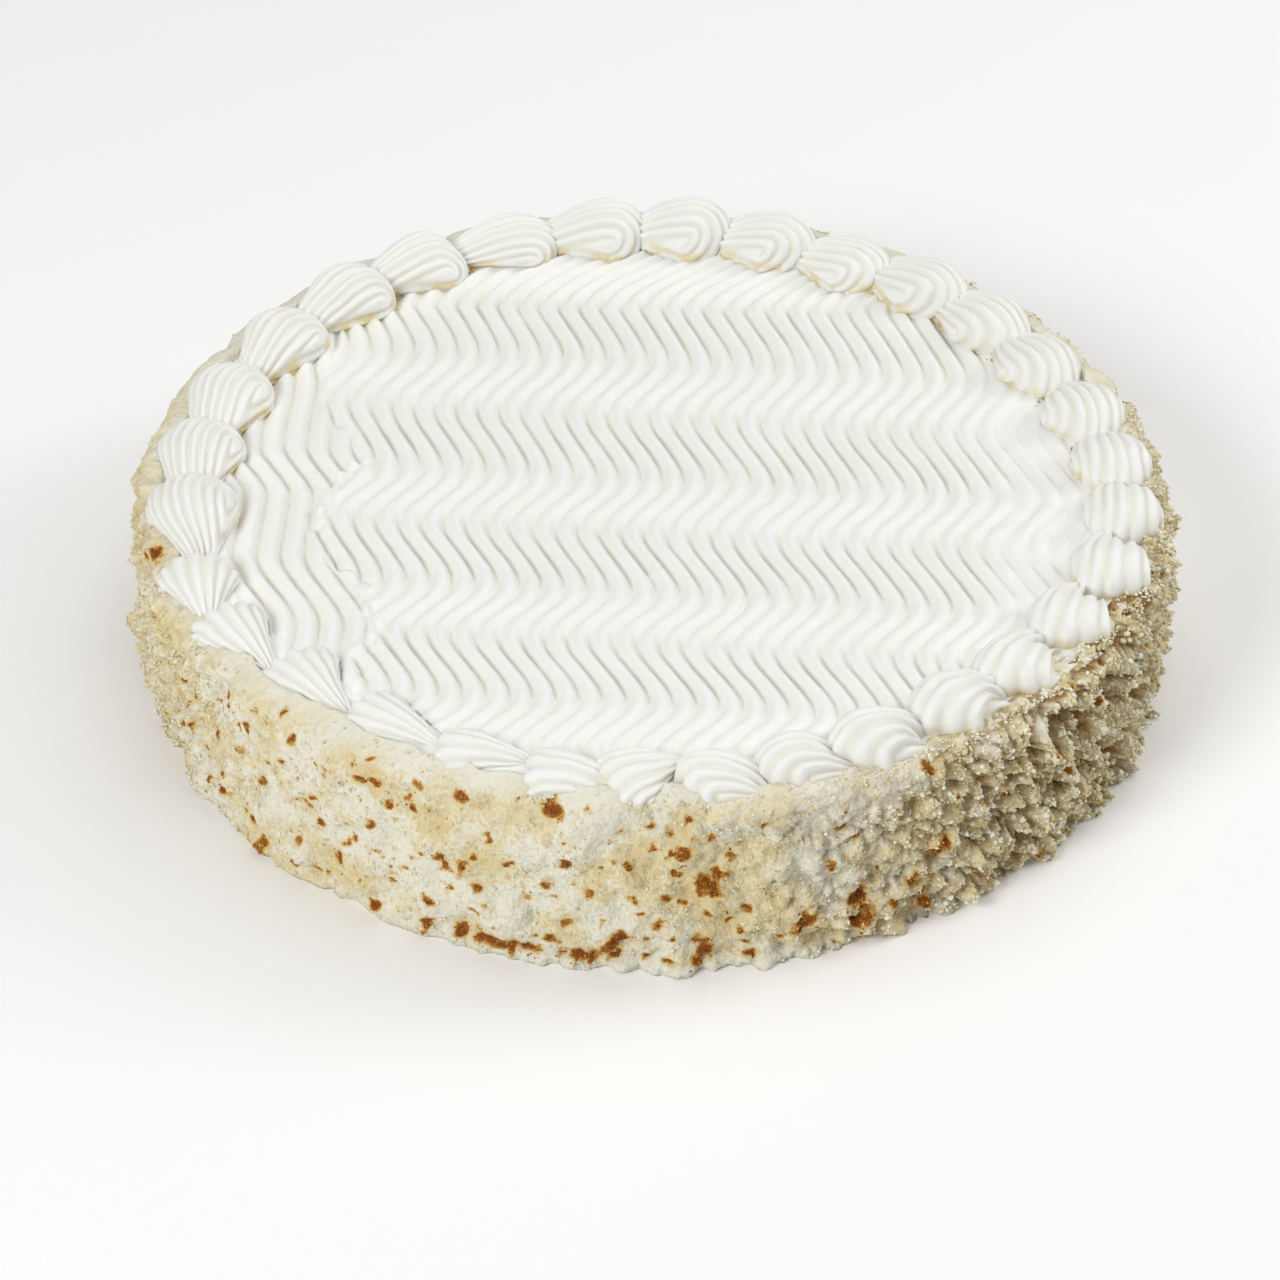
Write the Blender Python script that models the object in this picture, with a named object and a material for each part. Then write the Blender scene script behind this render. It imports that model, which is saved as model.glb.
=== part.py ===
"""Round white cake: crumb-coated body, combed icing top and a border of 31 piped shells.

Units are metres, +Z is up. The origin is the centre of the cake's base.
"""

import math
import random

import bmesh
import bpy
from mathutils import Matrix, Vector, noise

# ---------------------------------------------------------------- driving dimensions
BODY_RADIUS = 0.1268  # side of the body at the base, without its crumbs
BODY_TAPER = 0.0012  # how much narrower the side is at the top
BODY_HEIGHT = 0.0456
SIDE_SEGMENTS = 112
SIDE_ROWS = 7
LUMP_SIZE = 0.010  # across one soft lump of the crumb coat
LUMP_DEPTH = 0.0027
SMALL_LUMPS = 2.1  # small lumps across one soft lump
SMALL_LUMP_SHARE = 0.5  # of the soft lumps' depth
BASE_TUCK = 0.0016  # the foot of the side draws in by this much
TUCK_HEIGHT = 0.0098

GAP = 0.0003  # left between pieces that touch
WELD = 0.000004  # points closer than this are one
CUT_SNAP = 0.0000001  # points this close to a cutting plane lie on it
NEARLY_ZERO = 0.000001
SHARP_ANGLE = math.radians(50.0)

ICING_RADIUS = 0.1230
ICING_BOTTOM = 0.0415
LEDGE_HEIGHT = 0.0461  # level of the plain icing that the shells sit on
COMB_RADIUS = 0.1040  # the combed field inside the shells
COMB_PITCH = 0.0054
COMB_CREST = 0.0461
COMB_DEPTH = 0.0017
COMB_ROWS = 22
WAVE_LENGTH = 0.0483  # the comb was swung from side to side as it was drawn
WAVE_STRETCH = 21.44  # turns per square metre: the waves are longer at the back
WAVE_SWING = 0.0046
WAVE_SKEW = 0.39  # radians by which the swing to the left comes early
WAVE_SLANT = 0.06  # the bends lie further forward on the right
WAVE_FIRST_BEND = 0.0030
COMB_DRIFT = 0.0060  # the comb wandered this far to one side, back to front
REAR_START = 0.078  # behind this the comb was pulled in from the right
REAR_PULL = 0.72  # sideways for each step forward, once it is under way
REAR_EASE = 0.004
EDGE_STEPS = 20  # halvings in the search for the end of a comb line

# One row for each shell, anticlockwise from the back left: its angle on the ring and how
# far its tail turns outward, in degrees; then its distance from the cake's axis, the
# reach of its head, the reach of its tail, half its width and its rise, in millimetres;
# then the share of its width that it loses along its tail.
SHELLS = (
    (122.6, -2.0, 112.0, 10.2, 21.0, 11.0, 9.2, 0.72),
    (135.4, -6.0, 111.2, 11.8, 22.0, 11.0, 9.6, 0.72),
    (149.0, -8.0, 110.8, 12.4, 21.5, 11.0, 8.8, 0.72),
    (163.0, -4.0, 111.0, 12.6, 21.0, 11.0, 8.2, 0.72),
    (175.4, 0.0, 111.6, 11.4, 20.0, 11.0, 7.6, 0.72),
    (188.3, 0.0, 112.0, 11.6, 20.5, 11.4, 8.6, 0.72),
    (202.4, 10.0, 115.6, 6.8, 15.0, 9.8, 7.0, 0.80),
    (212.4, -2.0, 115.4, 6.8, 17.5, 9.5, 5.6, 0.86),
    (224.4, 6.0, 111.8, 6.8, 18.0, 10.0, 5.0, 0.86),
    (236.8, -1.0, 111.6, 6.6, 18.0, 8.8, 4.6, 0.84),
    (248.4, -14.0, 113.4, 6.2, 15.5, 8.4, 4.6, 0.82),
    (259.2, -2.0, 114.8, 6.2, 13.0, 8.6, 5.0, 0.30),
    (268.2, -28.0, 113.6, 7.0, 12.6, 10.0, 5.4, 0.88),
    (276.6, 12.0, 114.2, 7.6, 12.0, 8.8, 6.4, 0.48),
    (286.0, 5.0, 113.4, 8.2, 11.5, 8.8, 8.0, 0.48),
    (296.0, 12.0, 112.6, 10.0, 12.0, 9.8, 9.2, 0.48),
    (307.6, 14.0, 111.0, 10.4, 13.0, 10.4, 9.0, 0.44),
    (318.9, 16.0, 110.5, 10.4, 12.8, 10.4, 7.4, 0.42),
    (330.8, 16.0, 110.8, 10.2, 12.8, 10.4, 7.0, 0.42),
    (342.4, 14.0, 113.4, 10.4, 12.5, 10.4, 7.6, 0.45),
    (353.9, 10.0, 113.8, 10.4, 12.5, 10.4, 7.8, 0.50),
    (364.4, 6.0, 112.4, 10.4, 13.5, 10.6, 8.0, 0.62),
    (375.3, 2.0, 110.8, 10.4, 15.5, 10.8, 8.2, 0.65),
    (387.0, 0.0, 109.6, 10.6, 17.0, 11.0, 8.4, 0.68),
    (398.6, 0.0, 110.2, 10.6, 18.0, 11.0, 8.4, 0.70),
    (409.6, 0.0, 110.4, 10.0, 19.0, 11.0, 9.4, 0.71),
    (421.8, 0.0, 109.6, 10.0, 19.5, 11.0, 7.8, 0.71),
    (432.8, 0.0, 110.8, 9.4, 19.5, 11.0, 9.8, 0.72),
    (444.6, 0.0, 111.6, 9.6, 20.0, 11.0, 11.2, 0.72),
    (456.6, -2.0, 111.8, 10.8, 20.5, 11.0, 10.0, 0.72),
    (469.4, -3.0, 112.0, 11.4, 21.0, 11.0, 8.0, 0.72),
)
MILLIMETRE = 0.001
SHELL_BASE = LEDGE_HEIGHT + GAP
SHELL_RIDGES = 7
SHELL_STEPS = 4  # facets from head to tail
RIDGE_DEPTH = 0.08  # of the shell's own radius
TAIL_FALL = 0.30  # how soon a long tail sinks; at 0 it stays full to its tip
BLUNT_CENTRE = math.radians(-35.0)  # at the front right the tails were torn off short
BLUNT_SPREAD = math.radians(52.0)
BLUNT_FALL = 0.02
TAIL_CUT_MARGIN = 0.0004  # a cut tail keeps this far from the head that covers it

CRUMB_COUNT = 52
CRUMB_RADIUS = (0.0026, 0.0052)
CRUMB_DENT = 0.72  # a crumb's corners are pushed in to this share of its radius
CRUMB_SPIN_AXIS = (0.3, 0.5, 0.8)
CRUMB_SINK = 0.30  # share of a crumb's radius that its centre lies under the surface
CRUMB_SPACING = 0.0006
CRUMB_LIMIT = 0.1305  # no crumb stands out past this radius
CRUMB_TRIES = 4000
SEED = 31

CREAM = (0.86, 0.855, 0.79)
CREAM_ROUGHNESS = 0.45
ICING_WHITE = (0.90, 0.90, 0.86)
ICING_ROUGHNESS = 0.5
COAT = (0.80, 0.76, 0.62)
COAT_ROUGHNESS = 0.85


def new_collection(name):
    collection = bpy.data.collections.new(name)
    bpy.context.scene.collection.children.link(collection)
    return collection


def new_object(name, bm, collection):
    """Turn a bmesh into a smooth shaded object of that name."""
    bmesh.ops.recalc_face_normals(bm, faces=bm.faces)
    mesh = bpy.data.meshes.new(name)
    bm.to_mesh(mesh)
    bm.free()
    mesh.shade_smooth()
    mesh.set_sharp_from_angle(angle=SHARP_ANGLE)
    obj = bpy.data.objects.new(name, mesh)
    collection.objects.link(obj)
    return obj


def make_cutter(obj):
    obj.hide_render = True
    obj.display_type = "WIRE"
    return obj


def apply_boolean(obj, operation, operand):
    """Join or cut obj with an object, or with all the objects of a collection."""
    boolean = obj.modifiers.new(operation.lower(), "BOOLEAN")
    boolean.operation = operation
    boolean.solver = "EXACT"
    if isinstance(operand, bpy.types.Collection):
        boolean.operand_type = "COLLECTION"
        boolean.collection = operand
    else:
        boolean.object = operand
    bpy.context.view_layer.objects.active = obj
    bpy.ops.object.modifier_apply(modifier=boolean.name)


def keep_largest_body(obj):
    """Weld the seams of a cut and drop the scraps that it left loose."""
    bm = bmesh.new()
    bm.from_mesh(obj.data)
    bmesh.ops.remove_doubles(bm, verts=bm.verts, dist=WELD)
    bmesh.ops.dissolve_degenerate(bm, edges=bm.edges, dist=WELD)
    bodies, seen = [], set()
    for start in bm.verts:
        if start in seen:
            continue
        seen.add(start)
        body = [start]
        for vert in body:
            for edge in vert.link_edges:
                neighbour = edge.other_vert(vert)
                if neighbour not in seen:
                    seen.add(neighbour)
                    body.append(neighbour)
        bodies.append(body)
    bodies.sort(key=len)
    for scrap in bodies[:-1]:
        bmesh.ops.delete(bm, geom=scrap, context="VERTS")
    bm.to_mesh(obj.data)
    bm.free()


def paint(obj, name, color, roughness):
    material = bpy.data.materials.get(name)
    if material is None:
        material = bpy.data.materials.new(name)
        material.use_nodes = True
        shader = material.node_tree.nodes["Principled BSDF"]
        shader.inputs["Base Color"].default_value = (*color, 1.0)
        shader.inputs["Roughness"].default_value = roughness
        shader.inputs["Metallic"].default_value = 0.0
    obj.data.materials.clear()
    obj.data.materials.append(material)


def polar(radius, angle, z):
    return Vector((radius * math.cos(angle), radius * math.sin(angle), z))


def bell(angle, centre, spread):
    """1 at the centre angle, fading to 0 round the ring."""
    away = (angle - centre + math.pi) % (2 * math.pi) - math.pi
    return math.exp(-((away / spread) ** 2))


# ---------------------------------------------------------------- body
def side_radius(angle, z):
    """Radius of the crumb coat: a slight taper, a tucked foot and soft lumps."""
    up = z / BODY_HEIGHT
    place = polar(BODY_RADIUS, angle, z) / LUMP_SIZE
    lump = noise.noise(place) + SMALL_LUMP_SHARE * noise.noise(place * SMALL_LUMPS)
    foot = BASE_TUCK * max(0.0, 1.0 - z / TUCK_HEIGHT)
    return BODY_RADIUS - BODY_TAPER * up - foot + LUMP_DEPTH * lump


def crumb_places(draw):
    """Centres and radii of the largest crumbs, largest first, clear of each other."""
    small, large = CRUMB_RADIUS
    places = []
    for _ in range(CRUMB_TRIES):
        if len(places) == CRUMB_COUNT:
            break
        size = large - (large - small) * len(places) / CRUMB_COUNT
        angle = draw.uniform(-math.pi, math.pi)
        z = draw.uniform(size + CRUMB_SPACING, BODY_HEIGHT - size - CRUMB_SPACING)
        radius = min(side_radius(angle, z) - CRUMB_SINK * size, CRUMB_LIMIT - size)
        by_the_icing = z + size > ICING_BOTTOM - CRUMB_SPACING
        if by_the_icing and radius - size < ICING_RADIUS + CRUMB_SPACING:
            continue
        centre = polar(radius, angle, z)
        if all((centre - c).length > size + s + CRUMB_SPACING for c, s in places):
            places.append((centre, size))
    return places


def make_crumb(centre, size, draw, collection):
    """One angular crumb: an icosphere with its corners pushed in unevenly."""
    bm = bmesh.new()
    bmesh.ops.create_icosphere(bm, subdivisions=1, radius=size)
    for vert in bm.verts:
        vert.co *= draw.uniform(CRUMB_DENT, 1.0)
    spin = Matrix.Rotation(draw.uniform(0, math.pi), 4, CRUMB_SPIN_AXIS)
    bmesh.ops.transform(bm, matrix=Matrix.Translation(centre) @ spin, verts=bm.verts)
    return new_object("crumb", bm, collection)


def make_body(parts):
    bpy.ops.mesh.primitive_cylinder_add(
        vertices=SIDE_SEGMENTS, radius=BODY_RADIUS, depth=BODY_HEIGHT,
        location=(0, 0, BODY_HEIGHT / 2),
    )
    body = bpy.context.object
    body.name = body.data.name = "cake_body"
    for owner in list(body.users_collection):
        owner.objects.unlink(body)
    parts.objects.link(body)
    body.data.transform(Matrix.Translation(body.location))
    body.location = (0, 0, 0)

    bm = bmesh.new()
    bm.from_mesh(body.data)
    uprights = [e for e in bm.edges if abs(e.verts[0].co.z - e.verts[1].co.z) > GAP]
    bmesh.ops.subdivide_edges(bm, edges=uprights, cuts=SIDE_ROWS - 1, use_grid_fill=True)
    for vert in bm.verts:
        angle = math.atan2(vert.co.y, vert.co.x)
        radius = side_radius(angle, vert.co.z)
        vert.co = polar(radius, angle, vert.co.z)
    top = max(bm.faces, key=lambda f: f.calc_center_median().z)
    bmesh.ops.inset_region(bm, faces=[top], thickness=BODY_RADIUS - ICING_RADIUS)
    pit_radius = ICING_RADIUS + GAP
    for vert in top.verts:
        vert.co = polar(pit_radius, math.atan2(vert.co.y, vert.co.x), BODY_HEIGHT)
    floor = bmesh.ops.extrude_discrete_faces(bm, faces=[top])["faces"][0]
    for vert in floor.verts:
        vert.co.z = ICING_BOTTOM - GAP
    bmesh.ops.recalc_face_normals(bm, faces=bm.faces)
    bm.to_mesh(body.data)
    bm.free()

    draw = random.Random(SEED)
    crumbs = new_collection("crumbs")
    for centre, size in crumb_places(draw):
        make_crumb(centre, size, draw, crumbs)
    apply_boolean(body, "UNION", crumbs)
    keep_largest_body(body)
    for crumb in list(crumbs.objects):
        bpy.data.objects.remove(crumb)
    bpy.data.collections.remove(crumbs)
    body.data.shade_smooth()
    body.data.set_sharp_from_angle(angle=SHARP_ANGLE)
    paint(body, "crumb_coat", COAT, COAT_ROUGHNESS)
    return body


# ---------------------------------------------------------------- combed icing
def comb_shift(line, y):
    """How far the comb had swung sideways when it passed y."""
    along = y + WAVE_SLANT * line - WAVE_FIRST_BEND
    turns = along / WAVE_LENGTH - WAVE_STRETCH * along**2
    early = WAVE_SKEW * math.sin(math.pi * turns) ** 2
    swing = WAVE_SWING * math.cos(2 * math.pi * turns - early)
    rear = max(0.0, y - REAR_START)
    pull = REAR_PULL * rear**2 / (rear + REAR_EASE)
    return swing + pull + COMB_DRIFT * y / (2 * COMB_RADIUS)


def edge_of_field(line, side):
    """Where a comb line meets the round edge of the combed field, in y."""
    inside, outside = 0.0, COMB_RADIUS
    for _ in range(EDGE_STEPS):
        y = (inside + outside) / 2
        if math.hypot(line + comb_shift(line, side * y), y) < COMB_RADIUS:
            inside = y
        else:
            outside = y
    return side * inside


def make_icing(parts):
    half_pitch = COMB_PITCH / 2
    middle = int((COMB_RADIUS - WAVE_SWING) / half_pitch)
    bm = bmesh.new()
    bmesh.ops.create_grid(bm, x_segments=2 * middle, y_segments=COMB_ROWS, size=1.0)
    for vert in bm.verts:
        column = round((vert.co.x + 1) * middle)
        line = (column - middle) * half_pitch
        back, front = edge_of_field(line, 1), edge_of_field(line, -1)
        y = front + (back - front) * (vert.co.y + 1) / 2
        crest = COMB_CREST if column % 2 else COMB_CREST - COMB_DEPTH
        vert.co = (line + comb_shift(line, y), y, crest)
    rim = [e for e in bm.edges if e.is_boundary]
    circle = bmesh.ops.create_circle(
        bm, segments=SIDE_SEGMENTS, radius=ICING_RADIUS, cap_ends=False
    )["verts"]
    for vert in circle:
        vert.co.z = LEDGE_HEIGHT
    outline = list({e for v in circle for e in v.link_edges})
    bmesh.ops.bridge_loops(bm, edges=rim + outline)
    wall = bmesh.ops.extrude_edge_only(bm, edges=outline)["geom"]
    lower = [v for v in wall if isinstance(v, bmesh.types.BMVert)]
    for vert in lower:
        vert.co.z = ICING_BOTTOM
    bmesh.ops.holes_fill(bm, edges=[e for e in bm.edges if e.is_boundary])
    icing = new_object("icing_top", bm, parts)
    paint(icing, "combed_icing", ICING_WHITE, ICING_ROUGHNESS)
    return icing


# ---------------------------------------------------------------- piped shells
def shell_sizes(row):
    """Place, turn and sizes of one shell, from its row of the table."""
    angle, turn = (math.radians(value) for value in row[:2])
    ring, head, tail, half_width, rise = (MILLIMETRE * value for value in row[2:7])
    blunt = bell(angle, BLUNT_CENTRE, BLUNT_SPREAD)
    return {
        "angle": angle,
        "turn": turn,
        "ring": ring,
        "head": head,
        "tail": tail,
        "half_width": half_width,
        "rise": rise,
        "pinch": row[7],
        "fall": TAIL_FALL + (BLUNT_FALL - TAIL_FALL) * blunt,
    }


def shape_shell_point(unit, sizes):
    """Move a point of the unit ball to the shell: a ridged head with a pinched tail.

    The ball's poles lie across the shell, so its parallels become the ridges: they
    arch over the head from the icing and run together in the tail.
    """
    reach = math.hypot(unit.x, unit.z)
    tailward = max(0.0, unit.x / reach) if reach > NEARLY_ZERO else 0.0
    latitude = math.atan2(unit.y, reach)
    valley = math.sin(SHELL_RIDGES * latitude) ** 2
    ridge = 1.0 - RIDGE_DEPTH * valley
    if tailward > 0.0:
        x = sizes["tail"] * tailward * (reach + (1.0 - reach) * tailward)
    else:
        x = sizes["head"] * unit.x
    y = sizes["half_width"] * unit.y * (1.0 - sizes["pinch"] * tailward**2)
    z = sizes["rise"] * unit.z * (1.0 - tailward**2) ** sizes["fall"]
    return Vector((x, y, z)) * ridge


def shell_matrix(sizes):
    """From the shell's own axes (X to the tail, Z up) to its place on the ring."""
    heading = sizes["angle"] + math.pi / 2 - sizes["turn"]
    place = polar(sizes["ring"], sizes["angle"], SHELL_BASE)
    return Matrix.Translation(place) @ Matrix.Rotation(heading, 4, "Z")


def shell_mesh(sizes, swell):
    """A closed shell standing on its flat base; swell makes it larger all round."""
    bm = bmesh.new()
    bmesh.ops.create_uvsphere(
        bm, u_segments=2 * SHELL_STEPS, v_segments=2 * SHELL_RIDGES, radius=1.0
    )
    bmesh.ops.rotate(bm, matrix=Matrix.Rotation(math.pi / 2, 3, "X"), verts=bm.verts)
    grown = dict(sizes)
    for name in ("head", "tail", "half_width", "rise"):
        grown[name] += swell
    for vert in bm.verts:
        vert.co = shape_shell_point(vert.co, grown)
    cut = bmesh.ops.bisect_plane(
        bm, geom=bm.verts[:] + bm.edges[:] + bm.faces[:],
        plane_co=(0, 0, -swell), plane_no=(0, 0, 1), clear_inner=True, dist=CUT_SNAP,
    )
    edges = [g for g in cut["geom_cut"] if isinstance(g, bmesh.types.BMEdge)]
    bmesh.ops.holes_fill(bm, edges=edges)
    bmesh.ops.triangulate(bm, faces=bm.faces)
    bmesh.ops.transform(bm, matrix=shell_matrix(sizes), verts=bm.verts)
    return bm


def make_shells(parts, cutters):
    """Each head covers the tail piped before it, so that tail is cut back."""
    table = [shell_sizes(row) for row in SHELLS]
    for index, sizes in enumerate(table):
        number = f"{index + 1:02d}"
        shell = new_object(f"shell_{number}", shell_mesh(sizes, 0.0), parts)
        paint(shell, "piped_cream", CREAM, CREAM_ROUGHNESS)
        following = table[(index + 1) % len(table)]
        cover = new_object(
            f"cover_{number}", shell_mesh(following, TAIL_CUT_MARGIN), cutters
        )
        make_cutter(cover)
        apply_boolean(shell, "DIFFERENCE", cover)
        keep_largest_body(shell)


def main():
    for obj in list(bpy.data.objects):
        bpy.data.objects.remove(obj)
    parts = new_collection("white_cake")
    cutters = new_collection("cutters")
    make_body(parts)
    make_icing(parts)
    make_shells(parts, cutters)


main()
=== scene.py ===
import math
import random

import bmesh
import bpy
from mathutils import Matrix, Vector, kdtree, noise


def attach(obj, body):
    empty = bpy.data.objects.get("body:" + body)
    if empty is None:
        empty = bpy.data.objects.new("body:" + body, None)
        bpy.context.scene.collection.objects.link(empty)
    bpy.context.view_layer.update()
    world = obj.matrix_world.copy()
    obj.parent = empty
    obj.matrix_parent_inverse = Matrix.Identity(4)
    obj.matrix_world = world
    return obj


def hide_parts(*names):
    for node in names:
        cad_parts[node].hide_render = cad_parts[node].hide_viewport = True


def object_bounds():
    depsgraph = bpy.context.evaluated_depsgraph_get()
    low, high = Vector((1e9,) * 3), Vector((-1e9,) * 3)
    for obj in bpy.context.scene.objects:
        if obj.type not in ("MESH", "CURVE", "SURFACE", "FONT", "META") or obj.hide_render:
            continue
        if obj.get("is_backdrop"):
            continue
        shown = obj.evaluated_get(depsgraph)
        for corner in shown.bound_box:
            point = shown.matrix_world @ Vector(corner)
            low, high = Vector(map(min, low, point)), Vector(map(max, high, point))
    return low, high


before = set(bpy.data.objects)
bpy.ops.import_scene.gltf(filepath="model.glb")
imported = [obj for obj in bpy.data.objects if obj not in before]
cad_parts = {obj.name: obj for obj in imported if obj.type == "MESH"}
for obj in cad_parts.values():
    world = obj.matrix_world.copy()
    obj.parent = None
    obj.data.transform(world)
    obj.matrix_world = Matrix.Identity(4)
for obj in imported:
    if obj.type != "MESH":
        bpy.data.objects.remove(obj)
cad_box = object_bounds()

# ---------------------------------------------------------------- the crumb coat
# The sponge is masked with soft cream, and crumbs rubbed from its trimmings are pressed on
# by hand while the cream is tacky. They lie flat at the left and stand up in clumps at the
# front right. Toasted bits of the crust are among them, each in a golden stain.
BODY_RADIUS = 0.1268  # side of the cake at its base, without its crumbs
BODY_TAPER = 0.0012  # how much narrower the side is at the top
BODY_HEIGHT = 0.0456
BASE_TUCK = 0.0016  # the foot of the side draws in by this much
TUCK_HEIGHT = 0.0098
LUMP_SIZE = 0.010  # across one soft lump of the side
LUMP_DEPTH = 0.0027
SMALL_LUMPS = 2.1  # small lumps across one soft lump
SMALL_LUMP_SHARE = 0.5  # of the soft lumps' depth
ICING_RADIUS = 0.1230
ICING_BOTTOM = 0.0415
LEDGE_HEIGHT = 0.0461  # level of the icing under the piped border
RIM_RADIUS = 0.1180  # the coat ends here, under the border
RIM_DEPTH = 0.0012
ICING_EDGE = 0.1212  # and the icing here, inside the coat
ICING_SLOPE = 0.0017  # the icing falls by this much from the border to its edge
GAP = 0.0003  # left between pieces that touch
CRUMB_COUNT = 52  # the largest crumbs, which stand out of the coat
CRUMB_RADIUS = (0.0026, 0.0052)
CRUMB_SINK = 0.30  # share of a crumb's radius that its centre lies under the surface
CRUMB_SPACING = 0.0006
CRUMB_LIMIT = 0.1305  # no crumb stands out past this radius
SEED = 31
MILLIMETRE = 0.001
COAT_COLUMNS = 1180
COAT_ROWS = 80
CLUMP_CENTRE = math.radians(-28)  # the crumbs stand up in clumps on this side
CLUMP_SPREAD = math.radians(44)
CLUMP_LEAST = 0.28
CLUMP_SIZE = 0.0060
CLUMP_RISE = 0.0048
CLUMP_GAP = 0.0042  # depth of the gaps between the clumps
CLUMP_BEND = 0.0020  # how far their outlines wander
GAP_WIDTH = 0.20  # of a clump
STANDING_FROM = 0.30  # clumpiness at which crumbs begin to stand up
CRUMB_BEND = 0.0008
CRUMB_BEND_SIZE = 0.0018
# Relief of the coat: how wide its features are, how deep where the crumbs lie flat, and
# how much deeper where they stand up.
CRUMB_RELIEF = (0.0023, 0.0003, 0.0019)
LUMP_RELIEF = (0.0034, 0.0003, 0.0011)
PIT_RELIEF = (0.0021, 0.0012, 0.0014)
GRIT_RELIEF = (0.0013, 0.0002, 0.0006)
PIT_LEVEL = 0.20
LEFT_CENTRE = math.radians(-168)  # they stand up a little here too
LEFT_SPREAD = math.radians(35)
LEFT_CLUMPS = 0.34
SMEAR_CENTRE = math.radians(-90)  # cream squeezed out at the foot
SMEAR_SPREAD = math.radians(26)
SMEAR_DEPTH = 0.0022
SMEAR_TOP = (0.0032, 0.0022)  # the smear fades out between these heights
SMEAR_SIZE = 0.0035
EDGE_START = 0.0430  # above this the coat rolls over the upper edge, onto the icing
EDGE_PATH = 0.0085
EDGE_RISE = 0.0040
EDGE_INSET = 0.0070
COAT_PATH = EDGE_START + EDGE_PATH  # up the side and over the edge
EDGE_CREAM = 0.0011  # cream spread over the edge where the crumbs lie flat
EDGE_DIP = 0.0006
FIRM_FROM, FIRM_TO = 0.037, 0.043  # above this the icing behind the coat keeps hollows shallow
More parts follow.
